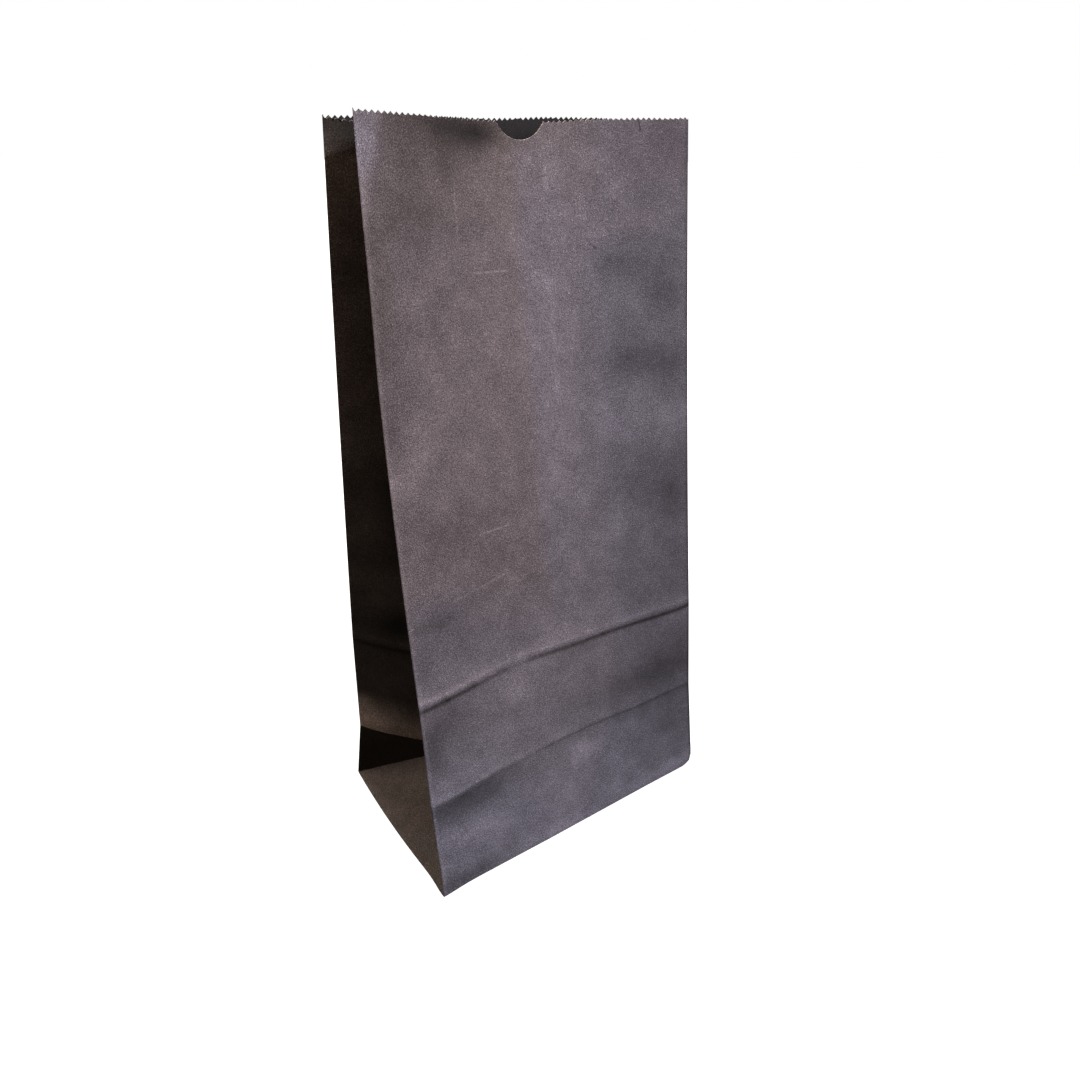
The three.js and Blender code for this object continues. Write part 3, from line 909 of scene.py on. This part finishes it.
def fibreGroup():
    group, given, end = newGroup("paperFibre", {"Sheet": None, **dict.fromkeys(fibreLabels, 0.5)},
                                 ("Tone", "Height"))

    def noise(name, share):
        scale, stretch, turn, detail = fibreForm[name]
        mapping = addNode(group, "Mapping", given["Sheet"], vector_type="TEXTURE",
                          Rotation=(0, 0, math.radians(turn)), Scale=(1 / scale, 1 / (scale * stretch), 1))
        texture = addNode(group, "TexNoise", mapping.outputs[0], Scale=1.0, Detail=detail)
        centred = mathNode(group, "SUBTRACT", texture.outputs[0], 0.5)
        return mathNode(group, "MULTIPLY", centred, share)

    cloud, pulp, streak = (noise(label.lower(), given[label]) for label in ("Cloud", "Pulp", "Streak"))
    coarse, fine = noise("coarse", fibreForm["coarseShare"]), noise("fine", fibreForm["fineShare"])
    grain = mathNode(group, "MULTIPLY", mathNode(group, "ADD", coarse, fine), given["Grain"])
    cells = addNode(group, "TexVoronoi", given["Sheet"], Scale=fibreForm["speckCells"])
    chosen = addNode(group, "SeparateColor", cells.outputs["Color"])
    rare = mathNode(group, "GREATER_THAN", chosen.outputs[0], fibreForm["speckRare"])
    near = mathNode(group, "LESS_THAN", cells.outputs["Distance"], fibreForm["speckSize"])
    speck = mathNode(group, "MULTIPLY", mathNode(group, "MULTIPLY", rare, near), given["Speck"])
    soft = mathNode(group, "ADD", cloud, pulp)
    sharp = mathNode(group, "ADD", grain, streak)
    fill(group, end, {"Tone": mathNode(group, "ADD", mathNode(group, "ADD", soft, sharp), speck),
                      "Height": mathNode(group, "ADD", pulp, sharp)})
    return group


# A soft-edged line between two places on the sheet, as uneven as the rubbing that is put in
def lineGroup():
    group, given, end = newGroup(
        "foldLine", {"Sheet": None, "Rubbing": 1.0, "Start": None, "End": None, "Width": 0.0004}, ("Mask",))

    def vector(operation, *values, **settings):
        return addNode(group, "VectorMath", *values, operation=operation, **settings).outputs

    run = vector("SUBTRACT", given["End"], given["Start"])[0]
    away = vector("SUBTRACT", given["Sheet"], given["Start"])[0]
    along = vector("DOT_PRODUCT", away, run)["Value"]
    length = vector("DOT_PRODUCT", run, run)["Value"]
    share = mathNode(group, "DIVIDE", along, length, clamp=True)
    reached = vector("SCALE", run, Scale=share)[0]
    off = vector("DISTANCE", away, reached)["Value"]
    square = mathNode(group, "POWER", mathNode(group, "DIVIDE", off, given["Width"]), 2)
    line = mathNode(group, "EXPONENT", mathNode(group, "MULTIPLY", square, -1))
    fill(group, end, {"Mask": mathNode(group, "MULTIPLY", line, given["Rubbing"])})
    return group


# Lines on the front panel, in millimetres on it: from, to, width, and how much lighter. They are crease
# marks, and the painted shade and highlight of the folds
creaseMarksAndShade = [
    ((41, 297), (41, 279), 0.45, 0.3), ((54, 280), (54, 271), 0.45, 0.26),
    ((49, 266), (65, 266.5), 0.45, 0.5), ((39, 164), (54, 164.5), 0.45, 0.5),
    ((86, 304), (86, 296), 1.2, 0.2), ((85, 260), (85, 212), 1.6, 0.12),
    ((104, 276), (108, 272), 0.45, -0.5), ((19, 139.5), (50, 144), 0.5, 0.3),
    ((130.2, 321), (131, 316.8), 0.3, -0.9), ((0.7, 134), (2.2, 134.5), 0.35, 0.6),
    ((1.6, 129.7), (2.8, 130.3), 0.3, 0.5), ((2, 136.2), (3.4, 136.4), 0.3, 0.3),
    ((0.3, 40.5), (2.2, 41), 0.35, 0.5), ((33, 299), (33.2, 299.2), 0.3, 1.3),
    ((79, 106), (79.2, 106), 0.3, 1.0),
    # the two folds across the panel: painted shade in the valley under each, and a painted highlight on the
    # rubbed crest over it
    ((1.5, 96.4), (13, 97), 1.3, -0.4), ((13, 97), (27, 98.3), 1.4, -0.45),
    ((27, 98.3), (46, 99.3), 1.1, -0.3), ((58, 99.2), (100, 98.3), 1.2, -0.4),
    ((100, 98.3), (154, 98.3), 1.3, -0.4), ((1.5, 100.2), (13, 100.6), 0.8, 0.15),
    ((13, 100.6), (46, 103), 0.8, 0.15), ((60, 102.3), (154, 102), 0.7, 0.1),
    ((2, 47.2), (13, 47.4), 0.8, -0.12), ((13, 47.4), (37, 50.2), 0.8, -0.2),
    ((56, 50.5), (154, 50.7), 0.75, -0.35), ((13, 49.3), (37, 52), 0.6, 0.12),
    ((146, 57.3), (154, 59.2), 0.5, 0.25), ((148, 38.5), (154, 37.4), 0.7, 0.3),
]

# Each finish's colour runs from warm to cool with the painted tint of the light
paperFinish = {
    "outsidePaper": {"warm": (0.124, 0.0935, 0.0965), "cool": (0.105, 0.0965, 0.1255), "roughness": 0.8,
                     "cloud": 0.75, "pulp": 0.42, "grain": 1.8, "streak": 0.45, "speck": 0.8, "bump": 0.2},
    "insidePaper": {"warm": (0.115, 0.09, 0.09), "cool": (0.1, 0.093, 0.115), "roughness": 0.86,
                    "cloud": 0.4, "pulp": 0.4, "grain": 1.1, "streak": 0.4, "speck": 0.4, "bump": 0.3},
    "cutEdge": {"warm": (0.46, 0.37, 0.34), "cool": (0.42, 0.37, 0.35), "roughness": 0.9,
                "cloud": 1.0, "pulp": 2.2, "grain": 1.6, "streak": 0.0, "speck": 0.0, "bump": 0.3},
}
# The colour of the painted warm bounce light on the sides
paintedBounceColour = (0.122, 0.0925, 0.0795)
shine = 0.25
bumpDepth = 0.0002
rubbing = {"scale": 420.0, "detail": 2.0,
           "range": {"From Min": 0.36, "From Max": 0.6, "To Min": 0.45, "To Max": 1.35}}


def paperMaterial(name, fibre, line, lines=()):
    finish = paperFinish[name]
    material = bpy.data.materials.new(name)
    material.use_nodes = True
    tree = material.node_tree
    sheet = addNode(tree, "UVMap", uv_map="sheet").outputs[0]
    # the painted light and shade, tint of the light and warm bounce that the corners carry
    paintedLight = addNode(tree, "Attribute", attribute_name="paintedLight").outputs["Color"]
    light, cool, brown = addNode(tree, "SeparateColor", paintedLight).outputs
    shares = {label: finish[label.lower()] for label in fibreLabels}
    placed = addNode(tree, "Group", node_tree=fibre, Sheet=sheet, **shares).outputs
    uneven = addNode(tree, "TexNoise", sheet, Scale=rubbing["scale"], Detail=rubbing["detail"])
    rubbed = addNode(tree, "MapRange", uneven.outputs[0], **rubbing["range"])
    tone = placed["Tone"]
    for begin, end, width, lighter in lines:
        mask = addNode(tree, "Group", node_tree=line, Sheet=sheet, Rubbing=rubbed.outputs[0],
                       Start=(begin[0] * mm, begin[1] * mm, 0), End=(end[0] * mm, end[1] * mm, 0),
                       Width=width * mm).outputs[0]
        tone = mathNode(tree, "ADD", tone, mathNode(tree, "MULTIPLY", mask, lighter))
    tone = mathNode(tree, "EXPONENT", tone)      # more bright fibres than dark ones
    # the painted light and shade
    tone = mathNode(tree, "MULTIPLY", tone, light)
    colour = (*finish["warm"], 1)
    # then the painted tint of the light, and the painted warm bounce
    for share, other in ((cool, finish["cool"]), (brown, paintedBounceColour)):
        mixed = addNode(tree, "Mix", data_type="RGBA", Factor=share, A=colour, B=(*other, 1))
        colour = mixed.outputs["Result"]
    toned = addNode(tree, "VectorMath", colour, operation="SCALE", Scale=tone)
    bump = addNode(tree, "Bump", Strength=finish["bump"], Distance=bumpDepth, Height=placed["Height"])
    fill(tree, tree.nodes["Principled BSDF"], {
        "Roughness": finish["roughness"], "Specular IOR Level": shine,
        "Base Color": toned.outputs[0], "Normal": bump.outputs[0]})
    return material


bag = buildBag()
fibre, line = fibreGroup(), lineGroup()
for name, lines in (("outsidePaper", creaseMarksAndShade), ("insidePaper", ()), ("cutEdge", ())):
    bag.data.materials.append(paperMaterial(name, fibre, line, lines))
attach(bag, "root")
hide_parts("bag")
print("materials done")

# Floor, light and camera
studio = {
    "floorRadius": 30,
    "floorSides": 96,
    "floorColour": (0.86, 0.86, 0.86),
    "floorRoughness": 0.9,
    "floorShine": 0.1,
    "floorGlow": 0.8,                     # keeps the shadow on the floor faint
    "floorBounce": (0.06, 0.05, 0.04),    # what the bag gets back from the floor
    "key": {"from": 12, "height": 21, "strength": 3.3, "soft": 16, "colour": (1.0, 0.99, 0.98)},
    "rim": {"from": 250, "height": 50, "strength": 1.0, "soft": 36, "colour": (1.0, 0.93, 0.86)},
    "back": {"from": 172, "height": 38, "strength": 2.4, "soft": 40, "colour": (1.0, 0.98, 0.96)},
    "lightDistance": 2,
    "air": (0.014, 0.0108, 0.0073),       # what the bag gets from all round
    "seen": (1.0, 1.0, 1.0),              # what shows behind it
}


# One colour lights the bag and another one is seen.
def seenColour(tree, given, seen):
    looked = addNode(tree, "LightPath").outputs["Is Camera Ray"]
    colour = addNode(tree, "Mix", data_type="RGBA", Factor=looked, A=(*given, 1), B=(*seen, 1))
    return looked, colour.outputs["Result"]


def makeFloor():
    radius, sides = studio["floorRadius"], studio["floorSides"]
    turns = [2 * math.pi * k / sides for k in range(sides)]
    mesh = bpy.data.meshes.new("floor")
    mesh.from_pydata([(radius * math.cos(a), radius * math.sin(a), 0) for a in turns], [], [range(sides)])
    material = bpy.data.materials.new("floorPaint")
    material.use_nodes = True
    tree = material.node_tree
    looked, colour = seenColour(tree, studio["floorBounce"], studio["floorColour"])
    glow = addNode(tree, "VectorMath", (studio["floorGlow"],) * 3, operation="SCALE", Scale=looked)
    fill(tree, tree.nodes["Principled BSDF"], {
        "Roughness": studio["floorRoughness"], "Specular IOR Level": studio["floorShine"],
        "Base Color": colour, "Emission Color": glow.outputs[0], "Emission Strength": 1})
    mesh.materials.append(material)
    floor = addObject("floor", mesh)


def makeSun(name, light):
    data = bpy.data.lights.new(name, "SUN")
    data.energy = light["strength"]
    data.angle = math.radians(light["soft"])
    data.color = light["colour"]
    sun = addObject(name, data)
    a, e = math.radians(light["from"]), math.radians(light["height"])
    back = Vector((math.sin(a) * math.cos(e), -math.cos(a) * math.cos(e), math.sin(e)))
    sun.rotation_euler = (-back).to_track_quat("-Z", "Y").to_euler()
    sun.location = back * studio["lightDistance"]


def makeAir():
    world = bpy.data.worlds.new("air")
    bpy.context.scene.world = world
    world.use_nodes = True
    tree = world.node_tree
    fill(tree, tree.nodes["Background"], {"Color": seenColour(tree, studio["air"], studio["seen"])[1]})


# The camera stands where the photograph was taken from.
view = {"place": (-0.19334, -0.28560, 0.30526), "turn": -35.187, "down": 25.757, "roll": 0.486,
        "lens": 26.866, "sensor": 36, "nearest": 0.01}


def makeCamera():
    data = bpy.data.cameras.new("camera")
    data.lens = view["lens"]
    data.sensor_width = view["sensor"]
    data.clip_start = view["nearest"]
    camera = addObject("camera", data)
    turn = Matrix.Rotation(math.radians(view["turn"]), 4, "Z")
    tilt = Matrix.Rotation(math.radians(90 - view["down"]), 4, "X")
    roll = Matrix.Rotation(math.radians(view["roll"]), 4, "Z")
    camera.matrix_world = Matrix.Translation(view["place"]) @ turn @ tilt @ roll
    bpy.context.scene.camera = camera


makeFloor()
for name in ("key", "rim", "back"):
    makeSun(name, studio[name])
makeAir()
makeCamera()
bpy.context.scene.view_settings.view_transform = "Standard"
print("stage done")
